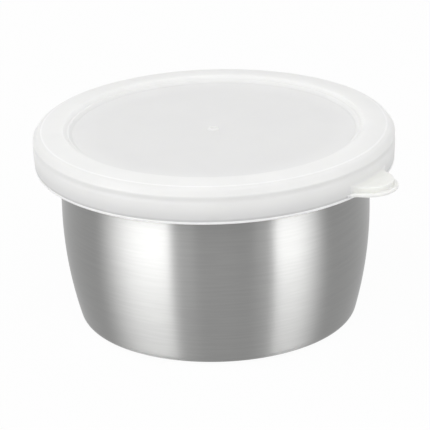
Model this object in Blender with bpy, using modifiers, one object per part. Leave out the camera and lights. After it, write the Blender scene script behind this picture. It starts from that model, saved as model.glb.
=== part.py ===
"""Lidded sauce cup: a drawn steel cup with a curled flange, and a soft press-on lid with a pull tab.

Metres, +Z up. The origin is the centre of the cup's base, underneath, and the pull tab points along +X.
The cup is one sheet turned about +Z. The lid is turned about the same axis and seats on the cup's flange.
"""

import math

import bmesh
import bpy

MM = 0.001

# Cup: outside sizes of the drawn sheet
CUP_HEIGHT = 40.0 * MM  # from the base to the top of the flange
CUP_RADIUS = 32.15 * MM  # of the straight upper wall
SHEET = 0.5 * MM
STRAIGHT_DEPTH = 15.6 * MM  # from the flange's top to where the wall starts to draw in
WALL_SWEEP = 86.0 * MM  # radius of the wall's slow curve towards the base
BASE_CORNER = 2.3 * MM
FLANGE_WIDTH = 3.85 * MM  # from the upper wall to the outside of the curl
NECK_BEND = 1.0 * MM  # bend under the flange
CURL_RADIUS = 0.85 * MM
CURL_TURN = math.radians(245.0)

# Fit of the lid on the cup
SEAT_GAP = 0.3 * MM  # between the flange and the lid's ring
RIM_GAP = 0.5 * MM  # between the curl and the skirt
PLUG_GAP = 0.3 * MM  # between the cup's mouth and the lid's plug
BEAD_GAP = 0.3 * MM  # below the curl, to the snap bead
LIFT_GAP = 0.2 * MM  # between the curl and the bead as the lid is lifted

# Lid
RING_WALL = 1.4 * MM
SKIRT_WALL = 1.0 * MM
SKIRT_DROP = 7.75 * MM  # from the ring's top to the lip
SHOULDER = 1.5 * MM
BELLY_DROP = 3.5 * MM  # from the ring's top to where the skirt starts to turn in
SKIRT_BARREL = 30.0 * MM
LIP_ROUND = 0.35 * MM
CHANNEL_FILLET = 0.4 * MM
BEAD_HEIGHT = 1.4 * MM
PANEL_WALL = 0.9 * MM
PANEL_RADIUS = 30.6 * MM  # to the middle of the step between the panel and the ring
PANEL_DROP = 1.2 * MM  # from the ring's top to the panel
PANEL_STEP = 1.3 * MM  # width of the rounded step
PLUG_WALL = 1.0 * MM
PLUG_REACH = 2.0 * MM  # below the panel
PLUG_LEAD = 0.3 * MM
GATE_RADIUS = 0.95 * MM  # of the moulding dimple at the panel's centre
GATE_DEPTH = 0.2 * MM

# Pull tab, moulded in one with the skirt
TAB_RADIUS = 6.2 * MM
TAB_REACH = 5.45 * MM  # past the skirt
TAB_WALL = 0.7 * MM
TAB_LIFT = 0.5 * MM  # above the lip
TAB_FILLET = 2.5 * MM
TAB_EDGE = 0.2 * MM
PAD_RADIUS = 5.3 * MM  # of the raised thumb pad, about the same centre as the tab's tip
PAD_RISE = 1.1 * MM  # above the tab
PAD_ROOT = 1.4 * MM  # radius of the sweep from the pad up to the skirt

# Facets
TURN_STEPS = 60
ARC_STEP = math.radians(24.0)
SMALL_ARC_STEP = math.radians(36.0)
TAB_ARC_STEP = math.radians(15.0)
MERGE = 0.001 * MM
FLAT = math.radians(1.0)  # faces that turn less than this are one face

# What the pieces share
CURL_OUTER = CUP_RADIUS + FLANGE_WIDTH
MOUTH = CUP_RADIUS - SHEET
SKIRT_INNER = CURL_OUTER + RIM_GAP
LID_RADIUS = SKIRT_INNER + SKIRT_WALL
PLUG_OUTER = MOUTH - PLUG_GAP
PLUG_INNER = PLUG_OUTER - PLUG_WALL
LID_SEAT = CUP_HEIGHT + SEAT_GAP
SKIRT_LIP = RING_WALL - SKIRT_DROP  # the lid's heights are measured from its seat


def arc(centre, radius, start, end, step=ARC_STEP):
    """Points of an arc from one angle to the other, both ends included."""
    count = max(2, math.ceil(abs(end - start) / step - 1e-9))
    angles = [start + (end - start) * i / count for i in range(count + 1)]
    return [(centre[0] + radius * math.cos(a), centre[1] + radius * math.sin(a)) for a in angles]


def material(name, colour, roughness, metallic):
    """A Principled material."""
    made = bpy.data.materials.new(name)
    made.use_nodes = True
    shader = made.node_tree.nodes["Principled BSDF"]
    shader.inputs["Base Color"].default_value = (*colour, 1.0)
    shader.inputs["Roughness"].default_value = roughness
    shader.inputs["Metallic"].default_value = metallic
    return made


def turned(name, profile, collection):
    """A profile of (radius, height) points, turned about the object's Z axis."""
    mesh = bpy.data.meshes.new(name)
    points = [(radius, 0.0, height) for radius, height in profile]
    mesh.from_pydata(points, [(i, i + 1) for i in range(len(points) - 1)], [])
    piece = bpy.data.objects.new(name, mesh)
    collection.objects.link(piece)
    turn = piece.modifiers.new("turn", "SCREW")
    turn.axis = "Z"
    turn.steps = TURN_STEPS
    turn.render_steps = TURN_STEPS
    turn.use_merge_vertices = True
    turn.merge_threshold = MERGE
    turn.use_smooth_shade = True
    return piece


def add_boolean(piece, tool, operation):
    """Cuts or joins a tool, which stays out of the render."""
    change = piece.modifiers.new(tool.name, "BOOLEAN")
    change.operation = operation
    change.solver = "EXACT"
    change.object = tool
    tool.hide_render = True
    tool.display_type = "WIRE"


def cup_skin():
    """The sheet's outer skin: from the curl's end, along the flange and down the wall, to the base's centre."""
    curl_inner = CURL_RADIUS - SHEET
    under_flange = CUP_HEIGHT - SHEET
    curl_centre = (CURL_OUTER - CURL_RADIUS, under_flange - curl_inner)
    top = math.pi / 2
    points = arc(curl_centre, curl_inner, top - CURL_TURN, top, SMALL_ARC_STEP)
    neck_centre = (CUP_RADIUS + NECK_BEND, under_flange - NECK_BEND)
    points += arc(neck_centre, NECK_BEND, top, math.pi)

    wall_break = CUP_HEIGHT - STRAIGHT_DEPTH
    sweep_centre = (CUP_RADIUS - WALL_SWEEP, wall_break)
    to_corner = WALL_SWEEP - BASE_CORNER
    drop = wall_break - BASE_CORNER
    base_flat = sweep_centre[0] + math.sqrt(to_corner**2 - drop**2)
    draw_in = math.asin(drop / to_corner)
    points += arc(sweep_centre, WALL_SWEEP, 0.0, -draw_in, draw_in / 6)
    points += arc((base_flat, BASE_CORNER), BASE_CORNER, -draw_in, -math.pi / 2)[1:]
    return points + [(0.0, 0.0)]


def barrel_radius(height):
    """The skirt's outside radius at a height below its belly."""
    below = RING_WALL - BELLY_DROP - height
    return LID_RADIUS - SKIRT_BARREL + math.sqrt(SKIRT_BARREL**2 - below**2)


def lid_top():
    """The lid's upper side: from the gate dimple at its centre, up the step to the ring and over the shoulder."""
    panel_top = RING_WALL - PANEL_DROP
    gate_sphere = (GATE_RADIUS**2 + GATE_DEPTH**2) / (2 * GATE_DEPTH)
    gate_centre = (0.0, panel_top - GATE_DEPTH + gate_sphere)
    down = -math.pi / 2
    up = math.pi / 2
    points = arc(gate_centre, gate_sphere, down, down + math.asin(GATE_RADIUS / gate_sphere))
    sweep = 2 * math.atan(PANEL_DROP / PANEL_STEP)
    step_radius = PANEL_STEP / (2 * math.sin(sweep))
    foot = (PANEL_RADIUS - PANEL_STEP / 2, panel_top + step_radius)
    points += arc(foot, step_radius, down, down + sweep)
    brow = (PANEL_RADIUS + PANEL_STEP / 2, RING_WALL - step_radius)
    points += arc(brow, step_radius, up + sweep, up)[1:]
    shoulder = (LID_RADIUS - SHOULDER, RING_WALL - SHOULDER)
    return points + arc(shoulder, SHOULDER, up, 0.0)


def lid_skirt():
    """The skirt, down its barrelled outside to the lip and up the inside, over the snap bead."""
    belly = (LID_RADIUS - SKIRT_BARREL, RING_WALL - BELLY_DROP)
    lip_start = SKIRT_LIP + LIP_ROUND
    turn_in = math.asin((belly[1] - lip_start) / SKIRT_BARREL)
    points = arc(belly, SKIRT_BARREL, 0.0, -turn_in, turn_in / 4)
    lip = (barrel_radius(lip_start) - LIP_ROUND, lip_start)
    points += arc(lip, LIP_ROUND, -turn_in, -math.pi / 2, SMALL_ARC_STEP)[1:]
    points.append((SKIRT_INNER, SKIRT_LIP))

    bead_depth = RIM_GAP - LIFT_GAP
    bead_top = -SEAT_GAP - 2 * CURL_RADIUS - BEAD_GAP
    half = BEAD_HEIGHT / 2
    bead_radius = (half**2 + bead_depth**2) / (2 * bead_depth)
    bead_centre = (SKIRT_INNER - bead_depth + bead_radius, bead_top - half)
    spread = math.asin(half / bead_radius)
    points += arc(bead_centre, bead_radius, math.pi + spread, math.pi - spread)
    return points


def lid_underside():
    """Under the ring, round the plug and along the panel to the centre."""
    under_panel = RING_WALL - PANEL_DROP - PANEL_WALL
    plug_end = under_panel - PLUG_REACH
    corner = (SKIRT_INNER - CHANNEL_FILLET, -CHANNEL_FILLET)
    points = arc(corner, CHANNEL_FILLET, 0.0, math.pi / 2, SMALL_ARC_STEP)
    points += [
        (PLUG_OUTER, 0.0),
        (PLUG_OUTER, plug_end + PLUG_LEAD),
        (PLUG_OUTER - PLUG_LEAD, plug_end),
        (PLUG_INNER, plug_end),
        (PLUG_INNER, under_panel),
        (0.0, under_panel),
    ]
    return points


def tab_outline(tip_radius):
    """The tab from above: a round tip and two fillets into the skirt, closed inside the skirt's wall."""
    tip_x = LID_RADIUS + TAB_REACH - TAB_RADIUS
    root = (SKIRT_INNER + barrel_radius(SKIRT_LIP)) / 2
    from_axis = LID_RADIUS + TAB_FILLET
    from_tip = tip_radius + TAB_FILLET
    fillet_x = (from_axis**2 - from_tip**2 + tip_x**2) / (2 * tip_x)
    fillet_y = math.sqrt(from_axis**2 - fillet_x**2)
    to_axis = math.atan2(fillet_y, fillet_x)
    to_tip = math.atan2(fillet_y, fillet_x - tip_x)
    points = arc((0.0, 0.0), root, to_axis, -to_axis, TAB_ARC_STEP / 4)
    points += arc((fillet_x, -fillet_y), TAB_FILLET, math.pi - to_axis, math.pi - to_tip, TAB_ARC_STEP)
    points += arc((tip_x, 0.0), tip_radius, -to_tip, to_tip, TAB_ARC_STEP)[1:-1]
    points += arc((fillet_x, fillet_y), TAB_FILLET, math.pi + to_tip, math.pi + to_axis, TAB_ARC_STEP)
    return points


def tab_plate(name, tip_radius, bottom, top, tools):
    """A plate with the tab's outline, to join to the skirt."""
    curve = bpy.data.curves.new(name, "CURVE")
    curve.dimensions = "2D"
    curve.fill_mode = "BOTH"
    curve.extrude = (top - bottom) / 2
    outline = tab_outline(tip_radius)
    spline = curve.splines.new("POLY")
    spline.points.add(len(outline) - 1)
    for point, (x, y) in zip(spline.points, outline):
        point.co = (x, y, 0.0, 1.0)
    spline.use_cyclic_u = True
    guide = bpy.data.objects.new(name + "_outline", curve)
    tools.objects.link(guide)
    guide.location.z = LID_SEAT + (bottom + top) / 2
    bpy.context.view_layer.update()

    mesh = bpy.data.meshes.new_from_object(guide.evaluated_get(bpy.context.evaluated_depsgraph_get()))
    shape = bmesh.new()
    shape.from_mesh(mesh)
    bmesh.ops.remove_doubles(shape, verts=shape.verts, dist=MERGE)
    bmesh.ops.recalc_face_normals(shape, faces=shape.faces)
    bmesh.ops.dissolve_limit(shape, angle_limit=FLAT, verts=shape.verts, edges=shape.edges)
    shape.to_mesh(mesh)
    shape.free()
    plate = bpy.data.objects.new(name, mesh)
    tools.objects.link(plate)
    plate.matrix_world = guide.matrix_world
    bpy.data.objects.remove(guide)
    return plate


def round_edges(plate):
    """Rounds a plate's edges slightly."""
    edge = plate.modifiers.new("edge", "BEVEL")
    edge.width = TAB_EDGE
    edge.segments = 2
    edge.limit_method = "ANGLE"


def make_tab(tools):
    """The tab's thin plate."""
    bottom = SKIRT_LIP + TAB_LIFT
    tab = tab_plate("tab", TAB_RADIUS, bottom, bottom + TAB_WALL, tools)
    round_edges(tab)
    return tab


def make_pad(tools):
    """The thumb pad: a plate cut by a turned space, so that its flat top sweeps up to the skirt."""
    bottom = SKIRT_LIP + TAB_LIFT + TAB_WALL / 2
    top = SKIRT_LIP + TAB_LIFT + TAB_WALL + PAD_RISE
    sweep_top = top + PAD_ROOT
    sweep_centre = (barrel_radius(sweep_top) + PAD_ROOT, sweep_top)
    past_tip = LID_RADIUS + 2 * TAB_REACH
    ceiling = sweep_top + TAB_WALL
    points = [(0.0, ceiling), (past_tip, ceiling), (past_tip, top)]
    points += arc(sweep_centre, PAD_ROOT, 1.5 * math.pi, math.pi)
    points.append((0.0, sweep_top))
    over_pad = turned("over_pad", points, tools)
    over_pad.location.z = LID_SEAT
    pad = tab_plate("thumb_pad", PAD_RADIUS, bottom, sweep_top + TAB_WALL / 2, tools)
    add_boolean(pad, over_pad, "DIFFERENCE")
    round_edges(pad)
    return pad


def make_cup(parts):
    """The cup: its outer skin, turned and then given the sheet's thickness inwards."""
    cup = turned("cup", cup_skin(), parts)
    sheet = cup.modifiers.new("sheet", "SOLIDIFY")
    sheet.thickness = SHEET
    sheet.offset = -1.0
    sheet.use_even_offset = True
    sheet.use_rim = True
    cup.data.materials.append(material("brushed_steel", (0.56, 0.56, 0.55), 0.32, 1.0))
    return cup


def make_lid(parts, tools):
    """The lid, with its origin on the axis that it lifts along, at the height of its seat."""
    lid = turned("lid", lid_top() + lid_skirt() + lid_underside(), parts)
    lid.location.z = LID_SEAT
    add_boolean(lid, make_tab(tools), "UNION")
    add_boolean(lid, make_pad(tools), "UNION")
    lid.data.materials.append(material("frosted_plastic", (0.86, 0.86, 0.84), 0.45, 0.0))
    return lid


def main():
    """Clears the scene and builds the two pieces."""
    for thing in list(bpy.data.objects):
        bpy.data.objects.remove(thing)
    parts = bpy.data.collections.new("lidded_sauce_cup")
    tools = bpy.data.collections.new("tools")
    bpy.context.scene.collection.children.link(parts)
    bpy.context.scene.collection.children.link(tools)
    make_cup(parts)
    make_lid(parts, tools)


main()
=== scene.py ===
"""Looks of the lidded sauce cup: a brushed steel cup under a milky press-on lid, on a plain white floor.

Metres, +Z up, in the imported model's frame: the origin is the centre of the cup's base and the pull tab points
along +X. The cup and the lid are modelled finely here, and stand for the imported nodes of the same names.
"""

import logging
import math
from dataclasses import dataclass
from enum import Enum

import bmesh
import bpy
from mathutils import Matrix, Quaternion, Vector


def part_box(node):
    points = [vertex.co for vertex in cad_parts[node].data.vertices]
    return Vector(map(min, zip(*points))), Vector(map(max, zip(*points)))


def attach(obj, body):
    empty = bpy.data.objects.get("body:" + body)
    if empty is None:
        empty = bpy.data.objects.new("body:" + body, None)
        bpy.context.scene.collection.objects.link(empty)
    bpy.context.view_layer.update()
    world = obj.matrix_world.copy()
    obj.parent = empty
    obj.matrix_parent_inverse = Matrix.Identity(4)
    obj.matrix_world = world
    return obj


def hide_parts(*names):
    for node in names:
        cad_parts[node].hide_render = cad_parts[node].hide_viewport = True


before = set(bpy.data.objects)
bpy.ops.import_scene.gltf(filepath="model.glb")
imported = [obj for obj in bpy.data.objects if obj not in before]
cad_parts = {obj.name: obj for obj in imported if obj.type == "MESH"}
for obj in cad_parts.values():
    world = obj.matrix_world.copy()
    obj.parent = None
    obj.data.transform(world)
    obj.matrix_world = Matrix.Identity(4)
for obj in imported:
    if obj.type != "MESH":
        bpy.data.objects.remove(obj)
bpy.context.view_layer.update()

LOG = logging.getLogger("sauce_cup")
IMAGE_SIDE = 430  # pixels
MM = 0.001
TURN_STEPS = 240
ARC_STEP = math.radians(7.5)
ARC_RUN = 0.7 * MM  # the longest step along an arc
MIN_ARC_STEPS = 2
EDGE_SEGMENTS = 4  # across a rounded edge
MERGE = 0.0002 * MM
SLIVER = 0.002 * MM  # what a cut leaves under this size is closed up
CREASE = math.radians(38.0)  # edges that turn more than this are shaded sharp
FLAT = math.radians(0.2)  # faces that turn less than this are one face
NOISE_LOW = 0.3  # noise below this counts as none
NOISE_MIDDLE = 0.5
NOISE_HIGH = 0.7  # noise above this counts as full
WHITE = (1.0, 1.0, 1.0)

Point = tuple[float, float]
Colour = tuple[float, float, float]
Bends = tuple[tuple[float, float], ...]  # radius and turn of each arc
Zone = tuple[float, float]  # where a change starts and where it is complete


class Body(Enum):
    """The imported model's bodies, which share their names with its nodes."""

    CUP = "cup"
    LID = "lid"


class Slot(Enum):
    """The record's material slots."""

    STEEL = "steel"
    LID_PLASTIC = "lid_plastic"


class Plane(Enum):
    """Planes that a pen draws in, each with the axis that its arcs turn about."""

    SECTION = (0.0, -1.0, 0.0)
    PLAN = (0.0, 0.0, 1.0)


class Change(Enum):
    """What one solid does to another."""

    JOIN = "UNION"
    CUT = "DIFFERENCE"


class Fade(Enum):
    """The side on which a softbox dims, as the object sees it."""

    NONE = "none"
    LEFT = "left"
    RIGHT = "right"


class Ray(Enum):
    """Kinds of ray that see the white background."""

    CAMERA = "Is Camera Ray"
    GLOSSY = "Is Glossy Ray"
    TRANSMISSION = "Is Transmission Ray"


class Wire:
    """An output socket that Python's operators work on, each of them adding a Math node."""

    def __init__(self, graph: "Graph", socket: bpy.types.NodeSocket) -> None:
        """Wraps a node's output socket."""
        self.graph = graph
        self.socket = socket

    def output(self, key: str | int) -> "Wire":
        """Another output of the same node."""
        return Wire(self.graph, self.socket.node.outputs[key])

    def maths(self, operation: str, first: "Wire | float", second: "Wire | float") -> "Wire":
        """A Math node on two values."""
        return self.graph.add("ShaderNodeMath", {"operation": operation}, {0: first, 1: second})

    def __add__(self, other: "Wire | float") -> "Wire":
        """This plus the other."""
        return self.maths("ADD", self, other)

    def __radd__(self, other: float) -> "Wire":
        """The other plus this."""
        return self.maths("ADD", other, self)

    def __sub__(self, other: "Wire | float") -> "Wire":
        """This less the other."""
        return self.maths("SUBTRACT", self, other)

    def __rsub__(self, other: float) -> "Wire":
        """The other less this."""
        return self.maths("SUBTRACT", other, self)

    def __mul__(self, other: "Wire | float") -> "Wire":
        """This times the other."""
        return self.maths("MULTIPLY", self, other)

    def __rmul__(self, other: float) -> "Wire":
        """The other times this."""
        return self.maths("MULTIPLY", other, self)

    def __pow__(self, other: float) -> "Wire":
        """This to a power."""
        return self.maths("POWER", self, other)

    def __abs__(self) -> "Wire":
        """This without its sign."""
        return self.maths("ABSOLUTE", self, 0.0)


class Graph:
    """A node tree that shader expressions are written into."""

    MIX_INPUTS = (0, 6, 7)  # the Mix node's sockets for the factor and two colours
    MIX_OUTPUT = 2

    def __init__(self, owner: bpy.types.Material | bpy.types.World | bpy.types.Light) -> None:
        """Takes over the owner's node tree, emptied.

        Args:
            owner: what the tree belongs to.
        """
        owner.use_nodes = True
        self.tree = owner.node_tree
        self.tree.nodes.clear()

    def add(
        self,
        kind: str,
        settings: dict | None = None,
        inputs: dict | None = None,
        output: str | int = 0,
    ) -> Wire:
        """Adds any node but an output node.

        Args:
            kind: the node's type.
            settings: its properties, set first.
            inputs: values or wires by the name or number of the socket.
            output: the output that is handed back.

        Returns:
            The chosen output.
        """
        node = self.tree.nodes.new(kind)
        for name, value in (settings or {}).items():
            setattr(node, name, value)
        for key, value in (inputs or {}).items():
            self.feed(node.inputs[key], value)
        return Wire(self, node.outputs[output])

    def close(self, kind: str, surface: Wire) -> None:
        """Adds the tree's output node."""
        self.feed(self.tree.nodes.new(kind).inputs["Surface"], surface)

    def feed(self, socket: bpy.types.NodeSocket, value: Wire | float | tuple) -> None:
        """Links a wire to an input, or sets the input's own value.

        Args:
            socket: the input.
            value: the wire or the value.
        """
        if isinstance(value, Wire):
            self.tree.links.new(value.socket, socket)
        elif socket.type == "RGBA":
            socket.default_value = (*value, 1.0)
        else:
            socket.default_value = value

    def mix(self, factor: Wire | float, first: Wire | Colour, second: Wire | Colour) -> Wire:
        """A blend of two colours, the second where the factor is 1."""
        inputs = dict(zip(self.MIX_INPUTS, (factor, first, second)))
        return self.add("ShaderNodeMix", {"data_type": "RGBA"}, inputs, self.MIX_OUTPUT)

    def place(self) -> tuple[Wire, Wire, Wire]:
        """Reads the object's own coordinates.

        Returns:
            X, Y and Z.
        """
        where = self.add("ShaderNodeTexCoord", output="Object")
        x = self.add("ShaderNodeSeparateXYZ", inputs={0: where}, output="X")
        return x, x.output("Y"), x.output("Z")

    def vector(self, x: Wire | float, y: Wire | float, z: Wire | float) -> Wire:
        """Three values as a vector."""
        return self.add("ShaderNodeCombineXYZ", inputs={0: x, 1: y, 2: z})

    def noise(self, where: Wire, detail: float = 2.0) -> Wire:
        """Noise with features about one unit across, from 0 to 1."""
        return self.add("ShaderNodeTexNoise", inputs={"Vector": where, "Scale": 1.0, "Detail": detail})

    def ramp(self, value: Wire, start: float, end: float, low: float = 0.0, high: float = 1.0) -> Wire:
        """Adds a smooth rise.

        Args:
            value: what it follows.
            start: the value at which it is low.
            end: the value at which it is high, which may be under the start.
            low: the result before the start.
            high: the result past the end.

        Returns:
            The result.
        """
        return self.add(
            "ShaderNodeMapRange",
            {"interpolation_type": "SMOOTHSTEP"},
            {"Value": value, "From Min": start, "From Max": end, "To Min": low, "To Max": high},
        )

    def sees(self, *rays: Ray) -> Wire:
        """Tells kinds of ray apart.

        Args:
            rays: the kinds.

        Returns:
            1 for these kinds of ray, and 0 for others.
        """
        path = self.add("ShaderNodeLightPath", output=rays[0].value)
        total = path
        for ray in rays[1:]:
            total = total.maths("MAXIMUM", total, path.output(ray.value))
        return total


class Pen:
    """Draws an open line of straight runs and arcs into a bmesh, one operator for each."""

    def __init__(self, plane: Plane, start: Point) -> None:
        """Starts a new bmesh with one vertex, heading along the plane's first axis.

        Args:
            plane: the plane to draw in.
            start: the vertex's place in it.
        """
        self.plane = plane
        self.heading = 0.0
        self.shape = bmesh.new()
        self.tip = bmesh.ops.create_vert(self.shape, co=self.place(start))["vert"][0]

    def place(self, point: Point) -> Vector:
        """Finds a point of the plane in space.

        Args:
            point: its place in the plane.

        Returns:
            Its place in space.
        """
        if self.plane is Plane.SECTION:
            return Vector((point[0], 0.0, point[1]))
        return Vector((point[0], point[1], 0.0))

    def at(self) -> Point:
        """Where the pen is, in the plane."""
        co = self.tip.co
        return (co.x, co.z) if self.plane is Plane.SECTION else (co.x, co.y)

    def line(self, end: Point, hold: float = 0.0) -> "Pen":
        """A straight run.

        Args:
            end: where it goes to.
            hold: the distance from each end to an extra vertex, which keeps smooth shading flat between.

        Returns:
            The pen.
        """
        start = self.at()
        across, along = end[0] - start[0], end[1] - start[1]
        length = math.hypot(across, along)
        stops = [hold / length, 1.0 - hold / length, 1.0] if hold else [1.0]
        for share in stops:
            self.tip = bmesh.ops.extrude_vert_indiv(self.shape, verts=[self.tip])["verts"][0]
            target = self.place((start[0] + across * share, start[1] + along * share))
            bmesh.ops.translate(self.shape, verts=[self.tip], vec=target - self.tip.co)
        self.heading = math.atan2(along, across)
        return self

    def ahead(self, length: float) -> "Pen":
        """A straight run along the heading."""
        across, along = self.at()
        return self.line((across + length * math.cos(self.heading), along + length * math.sin(self.heading)))

    def arc(self, centre: Point, sweep: float) -> "Pen":
        """An arc about a centre.

        Args:
            centre: its place in the plane.
            sweep: the angle in radians, anticlockwise where it is positive.

        Returns:
            The pen.
        """
        run = abs(sweep) * math.dist(self.at(), centre)
        made = bmesh.ops.spin(
            self.shape,
            geom=[self.tip],
            cent=self.place(centre),
            axis=self.plane.value,
            angle=sweep,
            steps=max(MIN_ARC_STEPS, math.ceil(abs(sweep) / ARC_STEP), math.ceil(run / ARC_RUN)),
        )
        self.tip = made["geom_last"][0]
        here = self.at()
        outwards = math.atan2(here[1] - centre[1], here[0] - centre[0])
        self.heading = outwards + math.copysign(math.pi / 2, sweep)
        return self

    def bend(self, radius: float, turn: float) -> "Pen":
        """An arc that carries on from the heading.

        Args:
            radius: of the arc.
            turn: the angle in radians, to the left where it is positive.

        Returns:
            The pen.
        """
        side = self.heading + math.copysign(math.pi / 2, turn)
        here = self.at()
        return self.arc((here[0] + radius * math.cos(side), here[1] + radius * math.sin(side)), turn)

    def bends(self, steps: Bends) -> "Pen":
        """Several bends, one after the other.

        Args:
            steps: the bends.

        Returns:
            The pen.
        """
        for radius, turn in steps:
            self.bend(radius, turn)
        return self

    def turned(self) -> bmesh.types.BMesh:
        """Spins the line about Z.

        Returns:
            The skin, whose faces point outwards.
        """
        shape = self.shape
        bmesh.ops.spin(
            shape,
            geom=shape.verts[:] + shape.edges[:],
            cent=(0.0, 0.0, 0.0),
            axis=(0.0, 0.0, 1.0),
            angle=math.tau,
            steps=TURN_STEPS,
            use_merge=True,
        )
        bmesh.ops.remove_doubles(shape, verts=shape.verts, dist=MERGE)
        bmesh.ops.recalc_face_normals(shape, faces=shape.faces)
        lowest = min(shape.faces, key=lambda face: face.calc_center_median().z)
        if lowest.normal.z > 0.0:
            bmesh.ops.reverse_faces(shape, faces=shape.faces)
        settle(shape)
        return shape


def span(steps: Bends, heading: float) -> Point:
    """How far bends carry a pen.

    Args:
        steps: the bends.
        heading: the direction that they start in.

    Returns:
        The change along the plane's first axis and along its second.
    """
    across = along = 0.0
    for radius, turn in steps:
        side = math.copysign(radius, turn)
        across += side * (math.sin(heading + turn) - math.sin(heading))
        along += side * (math.cos(heading) - math.cos(heading + turn))
        heading += turn
    return across, along


def settle(shape: bmesh.types.BMesh) -> None:
    """Builds a bmesh again with its elements in order of their places.

    Blender's tools leave them in an order that differs from run to run, and so would what is made from them.

    Args:
        shape: the bmesh, which is changed.
    """
    places = (
        (shape.verts, lambda vert: vert.co[:]),
        (shape.edges, lambda edge: sorted(vert.index for vert in edge.verts)),
        (shape.faces, lambda face: sorted(vert.index for vert in face.verts)),
    )
    for elements, place in places:
        rank = {element: step for step, element in enumerate(sorted(elements, key=place))}
        elements.sort(key=rank.get)
        elements.index_update()
    mesh = bpy.data.meshes.new("settled")
    shape.to_mesh(mesh)
    shape.clear()
    shape.from_mesh(mesh)
    bpy.data.meshes.remove(mesh)


def store(shape: bmesh.types.BMesh, mesh: bpy.types.Mesh) -> None:
    """Writes a bmesh to a mesh in a settled order.

    Args:
        shape: the bmesh, which is freed.
        mesh: what it is written to.
    """
    settle(shape)
    shape.to_mesh(mesh)
    shape.free()


def shaded(shape: bmesh.types.BMesh, name: str) -> bpy.types.Object:
    """Makes an object of a bmesh, smooth but for its creases.

    Args:
        shape: the bmesh, which is freed.
        name: of the object and its mesh.

    Returns:
        The object, in the scene.
    """
    mesh = bpy.data.meshes.new(name)
    store(shape, mesh)
    smooth(mesh)
    piece = bpy.data.objects.new(name, mesh)
    bpy.context.scene.collection.objects.link(piece)
    return piece


def smooth(mesh: bpy.types.Mesh) -> None:
    """Shades a mesh smooth but for its creases."""
    mesh.shade_smooth()
    mesh.set_sharp_from_angle(angle=CREASE)


def combine(piece: bpy.types.Object, tool: bpy.types.Object, change: Change) -> None:
    """Joins a solid to a piece, or cuts it away, for good.

    Args:
        piece: what is changed.
        tool: the solid, which is removed.
        change: whether it is joined or cut away.
    """
    modifier = piece.modifiers.new("combine", "BOOLEAN")
    modifier.operation = change.value
    modifier.solver = "EXACT"
    modifier.object = tool
    bpy.context.view_layer.update()
    combined = bpy.data.meshes.new_from_object(piece.evaluated_get(bpy.context.evaluated_depsgraph_get()))
    shape = bmesh.new()
    shape.from_mesh(combined)
    bmesh.ops.remove_doubles(shape, verts=shape.verts, dist=SLIVER)
    bmesh.ops.dissolve_degenerate(shape, edges=shape.edges, dist=SLIVER)
    store(shape, combined)
    piece.modifiers.clear()
    combined.name = piece.data.name
    piece.data = combined
    bpy.data.objects.remove(tool)


@dataclass(frozen=True)
class BrushedSteel:
    """Stainless steel with fine brush lines that run round the cup, coarser where it draws in to the base.

    Lines are noise, at a fine pitch for the surface and a broader one for the colour and the roughness.
    """

    height: float
    name: str = "brushed_steel"
    groove: Colour = (0.264, 0.264, 0.261)
    crest: Colour = (0.278, 0.278, 0.274)
    rim_roughness: float = 0.302
    base_roughness: float = 0.34
    roughness_spread: float = 0.012
    roughness_zone: Zone = (0.25, 0.8)  # shares of the height, from the base's roughness to the rim's
    stretch: float = 1.0
    stretch_turn: float = 0.25  # a quarter turn, so that highlights stretch across the lines
    fine_pitch: float = 0.12 * MM
    fine_length: float = 9.0 * MM
    broad_pitch: float = 0.5 * MM
    broad_length: float = 9.0 * MM
    depth: float = 0.0008 * MM

    def material(self) -> bpy.types.Material:
        """Makes the material.

        Returns:
            The material, whose lines vary the colour, the roughness and the surface.
        """
        made = bpy.data.materials.new(self.name)
        graph = Graph(made)
        x, y, z = graph.place()
        along = (x * x + y * y) ** 0.5 + z
        fine = graph.noise(self.lines(graph, x, y, along, self.fine_pitch, self.fine_length))
        broad = graph.noise(self.lines(graph, x, y, along, self.broad_pitch, self.broad_length))
        bump = graph.add("ShaderNodeBump", inputs={"Strength": 1.0, "Distance": self.depth, "Height": fine})
        low, high = (share * self.height for share in self.roughness_zone)
        roughness = graph.ramp(z, low, high, self.base_roughness, self.rim_roughness)
        shader = graph.add(
            "ShaderNodeBsdfPrincipled",
            {"distribution": "GGX"},
            {
                "Base Color": graph.mix(graph.ramp(broad, NOISE_LOW, NOISE_HIGH), self.groove, self.crest),
                "Metallic": 1.0,
                "Roughness": roughness + self.roughness_spread * (broad - NOISE_MIDDLE),
                "Anisotropic": self.stretch,
                "Anisotropic Rotation": self.stretch_turn,
                "Normal": bump,
            },
        )
        graph.close("ShaderNodeOutputMaterial", shader)
        return made

    def lines(self, graph: Graph, x: Wire, y: Wire, along: Wire, pitch: float, length: float) -> Wire:
        """Noise coordinates for lines of a pitch and a length that run round Z."""
        return graph.vector(x * (1.0 / length), y * (1.0 / length), along * (1.0 / pitch))


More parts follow.
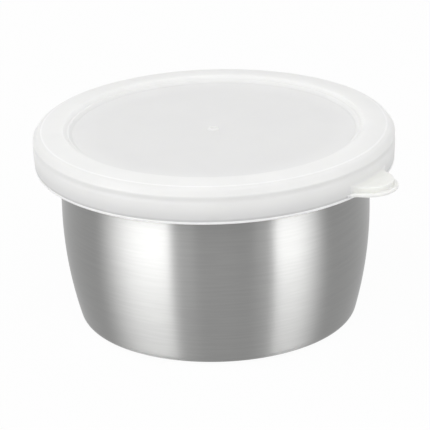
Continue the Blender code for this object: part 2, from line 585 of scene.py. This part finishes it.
@dataclass(frozen=True)
class MilkyPlastic:
    """Soft white polyethylene that lets light through.

    The panel is greyer than the ring, a painted shade for the dark inside of the cup that shows through it; it
    turns paler in painted light towards the step, and the gate mark's rim has a painted highlight. The lower
    skirt has a painted shade for the air behind it, darkest in the valley over the lip's bead, and the shoulder
    and the groove under it a slight one. The bead and the ring's narrow edge carry a pale painted highlight.
    The first fields are places on the lid, and a zone is where a colour sets in, in shares of the lid's height
    above its lip.
    """

    top: float
    lip: float
    gate: float
    panel_edge: float
    crest: float
    radius: float
    name: str = "milky_plastic"
    pale: Colour = (0.86, 0.86, 0.85)
    # painted shade: the panel is greyer for the dark inside of the cup behind it
    panel: Colour = (0.77, 0.77, 0.765)
    # painted shade: the shoulder and the groove under it, a little darker than the ring
    shoulder: Colour = (0.835, 0.835, 0.825)
    tab: Colour = (0.835, 0.838, 0.812)
    # painted shade: the lower skirt darker, for the dark gap behind it
    painted_skirt_shade: Colour = (0.74, 0.74, 0.74)
    # painted shade: a dark line in the valley over the lip's bead
    painted_valley_shade: Colour = (0.62, 0.62, 0.62)
    # painted highlight: a pale line on the ring's narrow edge and on the lip's bead
    painted_highlight: Colour = (0.93, 0.93, 0.925)
    dull: Colour = (0.7, 0.7, 0.7)
    crest_zone: Zone = (0.9, 0.95)
    shoulder_zone: Zone = (0.6, 0.72)
    painted_skirt_shade_zone: Zone = (0.55, 0.1)
    painted_valley_shade_zone: Zone = (0.16, 0.09)
    lip_zone: Zone = (0.085, 0.06)
    cloud_share: float = 0.12
    # painted light: the panel turns paler over the edge width towards the step
    painted_edge_light: float = 0.45
    edge_width: float = 7.0 * MM
    # painted highlight: a pale ring on the gate mark's rim
    painted_gate_highlight: float = 0.45
    gate_ring: float = 0.65  # share of the gate's radius that its ring of painted highlight is at
    gate_blur: float = 0.3
    tab_blend: float = 0.3 * MM
    roughness: float = 0.5
    roughness_spread: float = 0.08
    gloss: float = 0.2
    refraction: float = 1.51
    crest_width: float = 0.3 * MM
    step_width: float = 1.7 * MM
    cloud: float = 9.0 * MM
    grain: float = 0.16 * MM
    grain_depth: float = 0.004 * MM
    grain_loss: float = 0.6  # share of the grain that the ring and the skirt lack
    crown_depth: float = 0.7 * MM
    depth: float = 1.2 * MM
    spread: Colour = (1.0, 1.0, 0.95)  # how far each colour of light goes inside, in depths

    def material(self) -> bpy.types.Material:
        """Makes the material.

        Returns:
            The material, with a cloudy colour, a fine moulded grain and light that spreads inside.
        """
        made = bpy.data.materials.new(self.name)
        graph = Graph(made)
        x, y, z = graph.place()
        out = (x * x + y * y) ** 0.5
        half_step = self.step_width / 2
        on_ring = graph.ramp(out, self.panel_edge - half_step, self.panel_edge + half_step)
        clouds = graph.noise(self.scaled(graph, x, y, z, self.cloud))
        grain = graph.noise(self.scaled(graph, x, y, z, self.grain))
        crown = graph.add(
            "ShaderNodeBump",
            inputs={
                "Strength": 1.0,
                "Distance": self.crown_depth,
                "Height": graph.ramp(out, self.panel_edge + half_step, self.radius, 1.0, 0.0),
            },
        )
        bump = graph.add(
            "ShaderNodeBump",
            inputs={
                "Strength": 1.0,
                "Distance": self.grain_depth,
                "Height": grain * (1.0 - self.grain_loss * on_ring),
                "Normal": crown,
            },
        )
        shader = graph.add(
            "ShaderNodeBsdfPrincipled",
            {"subsurface_method": "RANDOM_WALK"},
            {
                "Base Color": self.colour(graph, out, z, on_ring, clouds),
                "Roughness": self.roughness + self.roughness_spread * (clouds - NOISE_MIDDLE),
                "Specular IOR Level": self.gloss,
                "Subsurface Weight": 1.0,
                "Subsurface Radius": self.spread,
                "Subsurface Scale": self.depth,
                "IOR": self.refraction,
                "Normal": bump,
            },
        )
        graph.close("ShaderNodeOutputMaterial", shader)
        return made

    def colour(self, graph: Graph, out: Wire, z: Wire, on_ring: Wire, clouds: Wire) -> Wire:
        """Makes the plastic's colour over the panel, the ring, the skirt, the lip and the tab, with painted
        shade and highlights.

        Args:
            graph: the material's nodes.
            out: the distance from the axis.
            z: the height.
            on_ring: 0 on the panel and 1 outside the step.
            clouds: noise that shades the colour softly.

        Returns:
            The colour.
        """
        level = (z - self.lip) * (1.0 / (self.top - self.lip))
        off_tab = graph.ramp(out, self.radius + self.tab_blend, self.radius)
        near_crest = graph.ramp(abs(out - self.crest), self.crest_width, 0.0)
        past_crest = graph.ramp(out, self.crest, self.crest + self.crest_width)
        # painted light near the step: 1 at the step, where the panel's painted shade weakens
        near_ring = graph.ramp(out, self.panel_edge - self.edge_width, self.panel_edge)
        # painted shade over the panel, weaker near the step and at the gate mark's rim
        on_panel = 1.0 - self.painted_edge_light * near_ring - (1.0 - self.painted_edge_light) * on_ring
        # painted highlight on the gate mark's rim
        on_gate = graph.ramp(abs(out - self.gate_ring * self.gate), self.gate_blur * self.gate, 0.0)
        layers = (
            # painted shade on the shoulder and the groove under it
            (past_crest * graph.ramp(level, *self.shoulder_zone), self.shoulder),
            (1.0 - off_tab, self.tab),
            # painted shade on the lower skirt
            (off_tab * graph.ramp(level, *self.painted_skirt_shade_zone), self.painted_skirt_shade),
            # painted shade in the valley over the lip's bead
            (off_tab * graph.ramp(level, *self.painted_valley_shade_zone), self.painted_valley_shade),
            # painted highlight on the lip's bead
            (off_tab * graph.ramp(level, *self.lip_zone), self.painted_highlight),
            # painted highlight on the ring's narrow edge
            (near_crest * graph.ramp(level, *self.crest_zone), self.painted_highlight),
            # painted shade on the panel
            (on_panel - self.painted_gate_highlight * on_gate, self.panel),
            (self.cloud_share * graph.ramp(clouds, NOISE_LOW, NOISE_HIGH), self.dull),
        )
        mixed: Wire | Colour = self.pale
        for factor, colour in layers:
            mixed = graph.mix(factor, mixed, colour)
        return mixed

    def scaled(self, graph: Graph, x: Wire, y: Wire, z: Wire, size: float) -> Wire:
        """Coordinates that count in features of the given size."""
        return graph.vector(x * (1.0 / size), y * (1.0 / size), z * (1.0 / size))


@dataclass(frozen=True)
class WhiteFloor:
    """A plain pale floor that shows white, with the object's shadow faint on it."""

    name: str = "white_floor"
    colour: Colour = (0.8, 0.8, 0.8)
    white: float = 0.955

    def material(self) -> bpy.types.Material:
        """Makes the material.

        Returns:
            The material, which glows white where it is seen and takes the shadow.
        """
        made = bpy.data.materials.new(self.name)
        graph = Graph(made)
        plain = graph.add("ShaderNodeBsdfDiffuse", inputs={"Color": self.colour})
        glow = graph.add("ShaderNodeEmission", inputs={"Color": WHITE, "Strength": 1.0})
        seen = graph.sees(Ray.CAMERA, Ray.GLOSSY, Ray.TRANSMISSION)
        shader = graph.add("ShaderNodeMixShader", inputs={0: self.white * seen, 1: plain, 2: glow})
        graph.close("ShaderNodeOutputMaterial", shader)
        return made


@dataclass
class SteelCup:
    """The drawn steel cup: one sheet, from the rim's curl along the flange, down the wall and over the base.

    Sizes are of the sheet's outer side. The rim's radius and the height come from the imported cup.
    """

    finish: BrushedSteel
    rim_radius: float
    height: float
    sheet: float = 0.5 * MM
    flange_width: float = 3.85 * MM
    neck_bend: float = 1.0 * MM
    curl_radius: float = 0.85 * MM
    curl_turn: float = math.radians(245.0)
    straight_depth: float = 15.6 * MM
    wall_sweep: float = 86.0 * MM
    base_corner: float = 2.3 * MM
    hold: float = 0.15 * MM

    def skin(self) -> Pen:
        """Draws the sheet's outer side.

        Returns:
            The pen, which has gone from the end of the curl to the base's centre.
        """
        inner = self.curl_radius - self.sheet
        under = self.height - self.sheet
        curl = (self.rim_radius - self.curl_radius, under - inner)
        start = math.pi / 2 - self.curl_turn
        pen = Pen(Plane.SECTION, (curl[0] + inner * math.cos(start), curl[1] + inner * math.sin(start)))
        pen.arc(curl, self.curl_turn)

        wall = self.rim_radius - self.flange_width
        pen.line((wall + self.neck_bend, under), self.hold)
        pen.bend(self.neck_bend, math.pi / 2)
        wall_break = self.height - self.straight_depth
        pen.line((wall, wall_break), self.hold)

        to_corner = self.wall_sweep - self.base_corner
        draw_in = math.asin((wall_break - self.base_corner) / to_corner)
        pen.bend(self.wall_sweep, -draw_in)
        pen.bend(self.base_corner, draw_in - math.pi / 2)
        return pen.line((0.0, 0.0), self.hold)

    def build(self) -> bpy.types.Object:
        """Turns the skin, gives it the sheet's thickness inwards and dresses it.

        Returns:
            The cup.
        """
        shape = self.skin().turned()
        bmesh.ops.solidify(shape, geom=shape.faces[:], thickness=self.sheet)
        piece = shaded(shape, "steel_cup")
        piece.data.materials.append(self.finish.material())
        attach(piece, Body.CUP.value)
        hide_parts(Body.CUP.value)
        return piece


@dataclass
class PressLid:
    """The press-on lid: a sunk panel in a raised ring, a skirt over the cup's rim and a tab with a thumb pad.

    The skirt's radius, the ring's top, the lip and the tab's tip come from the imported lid.
    """

    radius: float
    top: float
    lip: float
    tab_tip: float
    ring_wall: float = 1.4 * MM
    skirt_wall: float = 1.0 * MM
    panel_drop: float = 1.2 * MM
    panel_wall: float = 0.9 * MM
    panel_radius: float = 30.25 * MM
    panel_step: float = 1.95 * MM
    riser_foot: float = 0.35 * MM
    riser_edge: float = 0.25 * MM
    riser_turn: float = math.radians(41.0)
    crown: float = math.radians(3.0)
    crown_share: float = 0.55
    slope: float = math.radians(8.0)
    edge_round: float = 0.25 * MM
    edge_turn: float = math.radians(30.0)
    valley_round: float = 0.35 * MM
    valley_turn: float = math.radians(26.0)
    ledge_round: float = 4.0 * MM
    ledge_turn: float = math.radians(3.0)
    brow_round: float = 1.2 * MM
    face_round: float = 26.0 * MM
    face_turn: float = math.radians(2.0)
    face_slope: float = math.radians(55.0)
    shoulder_round: float = 0.6 * MM
    groove: float = 2.0 * MM
    groove_turn: float = math.radians(12.0)
    belly_drop: float = 3.8 * MM
    barrel: float = 22.0 * MM
    lip_valley: float = 0.25 * MM
    lip_flare: float = math.radians(40.0)
    lip_round: float = 0.3 * MM
    bead_depth: float = 0.3 * MM
    bead_height: float = 1.4 * MM
    bead_drop: float = 3.7 * MM
    channel_fillet: float = 0.4 * MM
    plug_outer: float = 31.35 * MM
    plug_wall: float = 1.0 * MM
    plug_reach: float = 2.0 * MM
    plug_lead: float = 0.3 * MM
    gate_radius: float = 1.35 * MM
    gate_dish: float = 0.7 * MM
    gate_depth: float = 0.1 * MM
    gate_rise: float = 0.25 * MM
    gate_rim: float = 0.22 * MM
    gate_fall: float = math.radians(20.0)  # of the rim's outside
    tab_radius: float = 6.2 * MM
    tab_wall: float = 0.7 * MM
    tab_lift: float = 0.5 * MM
    tab_root: float = 0.4 * MM  # from the skirt's inside to the tab's hidden end
    tab_fillet: float = 2.5 * MM
    tab_edge: float = 0.22 * MM
    pad_radius: float = 5.3 * MM
    pad_rise: float = 1.1 * MM
    pad_root: float = 1.4 * MM
    hold: float = 0.15 * MM

    @property
    def seat(self) -> float:
        """Height of the ring's underside."""
        return self.top - self.ring_wall

    @property
    def inner(self) -> float:
        """The skirt's inside radius."""
        return self.radius - self.skirt_wall

    @property
    def plug_inner(self) -> float:
        """The plug's inside radius."""
        return self.plug_outer - self.plug_wall

    @property
    def shoulder(self) -> Bends:
        """The bends from the ring to the skirt.

        Returns:
            The ring's narrow edge, the valley and the ledge outside it, and the shoulder's sloping face.
        """
        before = self.slope + self.edge_turn - self.valley_turn + self.ledge_turn
        return (
            (self.edge_round, -self.edge_turn),
            (self.valley_round, self.valley_turn),
            (self.ledge_round, -self.ledge_turn),
            (self.brow_round, before - self.face_slope),
            (self.face_round, -self.face_turn),
            (self.shoulder_round, self.face_slope + self.face_turn - math.pi / 2),
        )

    @property
    def crest(self) -> float:
        """Radius of the ring's narrow edge."""
        return self.radius - span(self.shoulder, -self.slope)[0]

    def draw_gate(self) -> Pen:
        """Draws the gate mark, a dimple with a raised rim at the panel's centre.

        Returns:
            The pen, which is at the mark's outside.
        """
        panel = self.top - self.panel_drop
        pen = Pen(Plane.SECTION, (0.0, panel - self.gate_depth))
        dish_depth = self.gate_depth + self.gate_rise
        dish = (self.gate_dish**2 + dish_depth**2) / (2 * dish_depth)
        slope = math.asin(self.gate_dish / dish)
        pen.bend(dish, slope)
        pen.bend(self.gate_rim, -slope - self.gate_fall)
        return pen.line((self.gate_radius, panel))

    def draw_step(self, pen: Pen, rise: float) -> None:
        """Draws the step from the panel up to the ring: two risers with a narrow ledge between them.

        Args:
            pen: at the panel's edge.
            rise: the height of both risers together.
        """
        turn, rounds = self.riser_turn, self.riser_foot + self.riser_edge
        straight = (rise / 2 - rounds * (1.0 - math.cos(turn))) / math.sin(turn)
        ledge = self.panel_step - 2 * (rounds * math.sin(turn) + straight * math.cos(turn))
        for is_upper in (False, True):
            pen.bend(self.riser_foot, turn).ahead(straight).bend(self.riser_edge, -turn)
            if not is_upper:
                pen.ahead(ledge)

    def draw_top(self, pen: Pen) -> None:
        """Draws the panel, the step and the ring, which is crowned and slopes at its outside.

        Args:
            pen: at the gate mark's outside.
        """
        ring = self.crest - self.panel_radius - self.panel_step / 2
        crown = ring * self.crown_share / (2 * math.sin(self.crown))
        slope = ring * (1.0 - self.crown_share) / (math.sin(self.slope) - math.sin(self.crown))
        pen.line((self.panel_radius - self.panel_step / 2, self.top - self.panel_drop), self.hold)
        self.draw_step(pen, self.panel_drop - crown * (1.0 - math.cos(self.crown)))
        pen.heading = self.crown
        pen.bends(((crown, -2 * self.crown), (slope, self.crown - self.slope)))

    def draw_skirt(self, pen: Pen) -> None:
        """Draws the shoulder, the shallow groove under it, the barrelled skirt and the beaded lip.

        Args:
            pen: at the ring's narrow edge.
        """
        pen.bends(self.shoulder)
        side, back = -self.groove_turn, 2 * self.groove_turn
        pen.bends(((self.groove, side), (self.groove, back), (self.groove, side)))
        belly = self.top - self.belly_drop
        pen.line((self.radius, belly))
        turn_in = math.asin((belly - self.lip - 2 * self.lip_round) / self.barrel)
        lip = ((self.lip_valley, self.lip_flare), (self.lip_round, turn_in - self.lip_flare - math.pi / 2))
        turn_in = math.asin((belly - self.lip + span(lip, -turn_in - math.pi / 2)[1]) / self.barrel)
        pen.bend(self.barrel, -turn_in)
        pen.bends(lip)
        pen.line((self.inner, self.lip))

    def draw_inside(self, pen: Pen) -> None:
        """Draws the skirt's inside and its snap bead, the rim's channel, the plug and the panel's underside.

        Args:
            pen: at the inside of the lip.
        """
        half = self.bead_height / 2
        curve = (half**2 + self.bead_depth**2) / (2 * self.bead_depth)
        spread = math.asin(half / curve)
        bead_top = self.top - self.bead_drop
        pen.line((self.inner, bead_top - self.bead_height), self.hold)
        pen.arc((self.inner - self.bead_depth + curve, bead_top - half), -2 * spread)
        pen.line((self.inner, self.seat - self.channel_fillet), self.hold)
        pen.bend(self.channel_fillet, math.pi / 2)
        pen.line((self.plug_outer, self.seat), self.hold)
        under = self.top - self.panel_drop - self.panel_wall
        plug_end = under - self.plug_reach
        pen.line((self.plug_outer, plug_end + self.plug_lead), self.hold)
        pen.heading = -math.pi / 2
        pen.bend(self.plug_lead, -math.pi / 2)
        pen.line((self.plug_inner + self.plug_lead, plug_end))
        pen.bend(self.plug_lead, -math.pi / 2)
        pen.line((self.plug_inner, under - self.plug_lead), self.hold)
        pen.bend(self.plug_lead, math.pi / 2)
        pen.line((0.0, under), self.hold)

    def tab_plate(self, name: str, tip_radius: float, bottom: float, top: float) -> bpy.types.Object:
        """Makes a plate with a round tip and two fillets that run into the skirt.

        Args:
            name: of the object.
            tip_radius: of the round tip, about the same centre for every plate.
            bottom: height of the underside.
            top: height of the upper side.

        Returns:
            The closed plate, which ends inside the skirt's wall.
        """
        tip = self.tab_tip - self.tab_radius
        root = self.inner + self.tab_root
        from_axis = self.radius + self.tab_fillet
        from_tip = tip_radius + self.tab_fillet
        x = (from_axis**2 - from_tip**2 + tip**2) / (2 * tip)
        y = math.sqrt(from_axis**2 - x**2)
        to_axis = math.atan2(y, x)
        to_tip = math.atan2(y, x - tip)
        pen = Pen(Plane.PLAN, (root * math.cos(to_axis), root * math.sin(to_axis)))
        pen.arc((0.0, 0.0), -2 * to_axis)
        pen.line((self.radius * math.cos(to_axis), -self.radius * math.sin(to_axis)))
        pen.arc((x, -y), to_axis - to_tip)
        pen.arc((tip, 0.0), 2 * to_tip)
        pen.arc((x, y), to_axis - to_tip)
        pen.line((root * math.cos(to_axis), root * math.sin(to_axis)))

        shape = pen.shape
        bmesh.ops.translate(shape, verts=shape.verts, vec=(0.0, 0.0, bottom))
        bmesh.ops.remove_doubles(shape, verts=shape.verts, dist=MERGE)
        face = bmesh.ops.contextual_create(shape, geom=shape.edges[:])["faces"]
        raised = bmesh.ops.extrude_face_region(shape, geom=face, use_keep_orig=True)["geom"]
        upper = [part for part in raised if isinstance(part, bmesh.types.BMVert)]
        bmesh.ops.translate(shape, verts=upper, vec=(0.0, 0.0, top - bottom))
        bmesh.ops.recalc_face_normals(shape, faces=shape.faces)
        return shaded(shape, name)

    def round_edges(self, plate: bpy.types.Object) -> None:
        """Rounds a plate's rims.

        Args:
            plate: the plate, which is changed.
        """
        shape = bmesh.new()
        shape.from_mesh(plate.data)
        bmesh.ops.dissolve_limit(shape, angle_limit=FLAT, verts=shape.verts, edges=shape.edges)
        rims = [edge for edge in shape.edges if edge.calc_face_angle(0.0) > CREASE]
        bmesh.ops.bevel(
            shape,
            geom=rims,
            offset=self.tab_edge,
            offset_type="OFFSET",
            segments=EDGE_SEGMENTS,
            profile=0.5,
            affect="EDGES",
            clamp_overlap=True,
            material=-1,
        )
        store(shape, plate.data)

    def build_tab(self) -> bpy.types.Object:
        """Makes the tab's thin plate.

        Returns:
            The plate.
        """
        bottom = self.lip + self.tab_lift
        tab = self.tab_plate("tab", self.tab_radius, bottom, bottom + self.tab_wall)
        self.round_edges(tab)
        return tab

    def build_pad(self) -> bpy.types.Object:
        """Makes the thumb pad: a plate cut by a turned space, so that its flat top sweeps up to the skirt.

        Returns:
            The pad.
        """
        bottom = self.lip + self.tab_lift + self.tab_wall / 2
        top = bottom + self.tab_wall / 2 + self.pad_rise
        sweep_top = top + self.pad_root
        ceiling = sweep_top + self.tab_wall
        past_tip = self.tab_tip + self.tab_radius
        pen = Pen(Plane.SECTION, (0.0, sweep_top))
        pen.line((self.radius - self.tab_edge, sweep_top))
        pen.heading = -math.pi / 2
        pen.bend(self.pad_root, math.pi / 2)
        pen.line((past_tip, top)).line((past_tip, ceiling)).line((0.0, ceiling))
        pad = self.tab_plate("thumb_pad", self.pad_radius, bottom, sweep_top + self.tab_wall / 2)
        combine(pad, shaded(pen.turned(), "over_pad"), Change.CUT)
        self.round_edges(pad)
        return pad

    def build(self) -> bpy.types.Object:
        """Turns the section, joins the tab and its thumb pad, and dresses the lid.

        Returns:
            The lid.
        """
        pen = self.draw_gate()
        self.draw_top(pen)
        self.draw_skirt(pen)
        self.draw_inside(pen)
        piece = shaded(pen.turned(), "milky_lid")
        combine(piece, self.build_tab(), Change.JOIN)
        combine(piece, self.build_pad(), Change.JOIN)
        smooth(piece.data)
        finish = MilkyPlastic(
            top=self.top,
            lip=self.lip,
            gate=self.gate_radius,
            panel_edge=self.panel_radius,
            crest=self.crest,
            radius=self.radius,
        )
        piece.data.materials.clear()
        piece.data.materials.append(finish.material())
        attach(piece, Body.LID.value)
        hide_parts(Body.LID.value)
        return piece


@dataclass(frozen=True)
class Viewpoint:
    """The photograph's viewpoint, found by fitting a camera to the lid's circles and the cup's outline."""

    azimuth: float = math.radians(33.5)
    elevation: float = math.radians(19.7)
    distance: float = 0.6
    roll: float = math.radians(1.7)
    focal_pixels: float = 2898.0
    ring_pixel: Point = (213.5, 123.5)
    sensor: float = 36.0  # millimetres, as the lens is

    def towards(self, azimuth: float, elevation: float) -> Vector:
        """Finds a direction from the object.

        Args:
            azimuth: the angle to the right of the camera's side.
            elevation: the angle above the floor.

        Returns:
            The direction, one unit long.
        """
        turn = self.azimuth + azimuth
        flat = math.cos(elevation)
        return Vector((math.sin(turn) * flat, -math.cos(turn) * flat, math.sin(elevation)))

    def build(self, ring_middle: Vector) -> bpy.types.Object:
        """Makes the scene's camera.

        Args:
            ring_middle: the point that the photograph has at ring_pixel.

        Returns:
            The camera.
        """
        data = bpy.data.cameras.new("camera")
        data.sensor_width = self.sensor
        data.lens = self.sensor * self.focal_pixels / IMAGE_SIDE
        camera = bpy.data.objects.new("camera", data)
        bpy.context.scene.collection.objects.link(camera)
        back = self.towards(0.0, self.elevation)
        camera.location = ring_middle + back * self.distance
        right_of = self.ring_pixel[0] - IMAGE_SIDE / 2
        above = IMAGE_SIDE / 2 - self.ring_pixel[1]
        aim = (-back).to_track_quat("-Z", "Y")
        aim = aim @ Quaternion((0.0, 0.0, 1.0), -self.roll)
        aim = aim @ Quaternion((1.0, 0.0, 0.0), -math.atan(above / self.focal_pixels))
        aim = aim @ Quaternion((0.0, 1.0, 0.0), math.atan(right_of / self.focal_pixels))
        camera.rotation_mode = "QUATERNION"
        camera.rotation_quaternion = aim
        bpy.context.scene.camera = camera
        return camera


@dataclass(frozen=True)
class Softbox:
    """A rectangular lamp that faces the object.

    Its azimuth is to the right of the camera's side, and its shares are of its width from the fading side.
    """

    name: str
    azimuth: float
    elevation: float
    distance: float
    width: float
    height: float
    radiance: float
    fade: Fade = Fade.NONE
    gloss_only: bool = False
    fade_share: float = 0.53
    core_share: float = 0.745
    core_blur: float = 0.02
    spill: float = 0.1  # strength past the core

    def dim(self, data: bpy.types.Light) -> None:
        """Makes the lamp fall off slowly towards its fading side, with a weak spill past its bright core.

        Args:
            data: the lamp's data.
        """
        graph = Graph(data)
        spot = graph.add("ShaderNodeNewGeometry", output="Parametric")
        across = graph.add("ShaderNodeSeparateXYZ", inputs={0: spot})
        inwards = 1.0 - across if self.fade is Fade.RIGHT else across
        core = graph.ramp(inwards, self.core_share + self.core_blur, self.core_share, self.spill, 1.0)
        strength = core * graph.ramp(inwards, 0.0, self.fade_share)
        graph.close("ShaderNodeOutputLight", graph.add("ShaderNodeEmission", inputs={"Strength": strength}))

    def build(self, view: Viewpoint, aim: Vector) -> bpy.types.Object:
        """Makes the lamp.

        Args:
            view: the viewpoint that its azimuth counts from.
            aim: the point that it faces.

        Returns:
            The lamp.
        """
        data = bpy.data.lights.new(self.name, "AREA")
        data.shape = "RECTANGLE"
        data.size = self.width
        data.size_y = self.height
        data.energy = self.radiance * math.pi * self.width * self.height
        if self.fade is not Fade.NONE:
            self.dim(data)
        lamp = bpy.data.objects.new(self.name, data)
        lamp.visible_diffuse = not self.gloss_only
        bpy.context.scene.collection.objects.link(lamp)
        out = view.towards(self.azimuth, self.elevation)
        lamp.location = aim + out * self.distance
        lamp.rotation_mode = "QUATERNION"
        lamp.rotation_quaternion = (-out).to_track_quat("-Z", "Y")
        return lamp


@dataclass
class Studio:
    """A white floor, a white surround and soft lamps."""

    view: Viewpoint
    floor: WhiteFloor
    middle: Vector
    floor_radius: float = 3.0
    floor_segments: int = 96
    floor_gap: float = 0.1 * MM
    fill: float = 0.785
    softboxes: tuple[Softbox, ...] = (
        Softbox(
            "softbox_left",
            azimuth=math.radians(-57.0),
            elevation=math.radians(15.0),
            distance=1.1,
            width=1.87,
            height=0.75,
            radiance=15.1,
            fade=Fade.LEFT,
            gloss_only=True,
        ),
        Softbox(
            "softbox_right",
            azimuth=math.radians(57.9),
            elevation=math.radians(15.0),
            distance=1.1,
            width=1.3,
            height=0.75,
            radiance=13.9,
            fade=Fade.RIGHT,
            gloss_only=True,
        ),
        Softbox(
            "softbox_top",
            azimuth=math.radians(-20.0),
            elevation=math.radians(54.0),
            distance=1.3,
            width=1.4,
            height=1.4,
            radiance=1.02,
        ),
    )

    def build_floor(self) -> bpy.types.Object:
        """Makes the floor, a wide disc just under the cup.

        Returns:
            The floor.
        """
        shape = bmesh.new()
        bmesh.ops.create_circle(
            shape,
            cap_ends=True,
            segments=self.floor_segments,
            radius=self.floor_radius,
        )
        bmesh.ops.translate(shape, verts=shape.verts, vec=(0.0, 0.0, -self.floor_gap))
        floor = shaded(shape, "floor")
        floor.data.materials.append(self.floor.material())
        return floor

    def build_world(self) -> None:
        """Makes the surround: white where it is seen, and a weak even fill for the rest."""
        world = bpy.data.worlds.new("surround")
        bpy.context.scene.world = world
        graph = Graph(world)
        fill = graph.add("ShaderNodeBackground", inputs={"Color": WHITE, "Strength": self.fill})
        seen = graph.add("ShaderNodeBackground", inputs={"Color": WHITE, "Strength": 1.0})
        factor = graph.sees(Ray.CAMERA, Ray.GLOSSY, Ray.TRANSMISSION)
        shader = graph.add("ShaderNodeMixShader", inputs={0: factor, 1: fill, 2: seen})
        graph.close("ShaderNodeOutputWorld", shader)

    def build(self) -> None:
        """Makes the floor, the surround and the lamps."""
        self.build_floor()
        self.build_world()
        for softbox in self.softboxes:
            softbox.build(self.view, self.middle)


def main() -> None:
    """Builds the cup, the lid, the camera and the studio in order."""
    logging.basicConfig(level=logging.INFO, format="%(message)s")
    scene = bpy.context.scene
    scene.view_settings.view_transform = "Standard"

    _, cup_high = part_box(Body.CUP.value)
    lid_low, lid_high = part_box(Body.LID.value)
    cup = SteelCup(BrushedSteel(cup_high[2]), rim_radius=cup_high[1], height=cup_high[2])
    lid = PressLid(radius=lid_high[1], top=lid_high[2], lip=lid_low[2], tab_tip=lid_high[0])
    for piece in (cup.build(), lid.build()):
        LOG.info("%s: %d faces", piece.name, len(piece.data.polygons))

    view = Viewpoint()
    view.build(Vector((0.0, 0.0, lid.top)))
    Studio(view, WhiteFloor(), middle=Vector((0.0, 0.0, cup.height / 2))).build()


if __name__ == "__main__":
    main()
